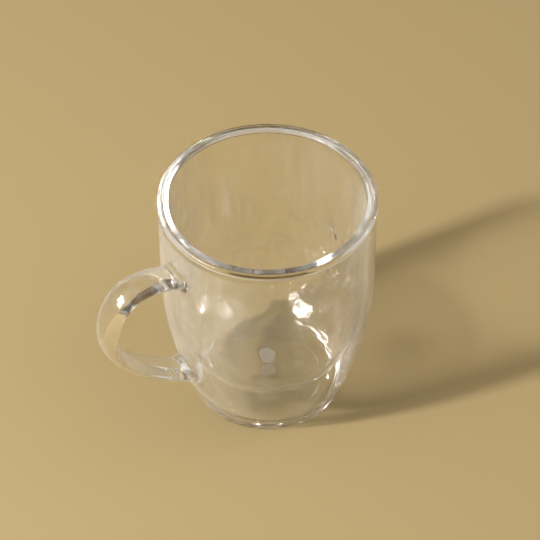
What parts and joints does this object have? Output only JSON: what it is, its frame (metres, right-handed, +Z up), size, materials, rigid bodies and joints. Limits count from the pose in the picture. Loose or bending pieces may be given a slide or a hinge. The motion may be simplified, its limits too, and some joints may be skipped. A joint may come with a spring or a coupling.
{
  "type": "double-wall mug",
  "caption": "Clear acrylic double-wall drinking mug: a round-bottomed inner cup sealed at the rim into a barrel-shaped outer cup, with a cemented oval side handle.",
  "frame": {"origin": "on the surface the mug stands on, under the middle of the whole footprint with the handle; the cups' axis is 17.4 mm to the -X side", "axes": "+Z up along the cups' axis, +X towards the handle"},
  "size_m": [0.1198, 0.085, 0.101],
  "materials": {
    "clear_acrylic": "clear moulded acrylic, polished, lets light through",
    "weld_acrylic": "acrylic melted in the welded seam, slightly hazy",
    "clear_cement": "thin layer of set clear acrylic cement"
  },
  "bodies": {
    "root": {"outer_cup": "clear_acrylic", "inner_cup": "clear_acrylic", "handle": "clear_acrylic", "rim_weld": "weld_acrylic", "upper_handle_bond": "clear_cement", "lower_handle_bond": "clear_cement"}
  },
  "joints": []
}
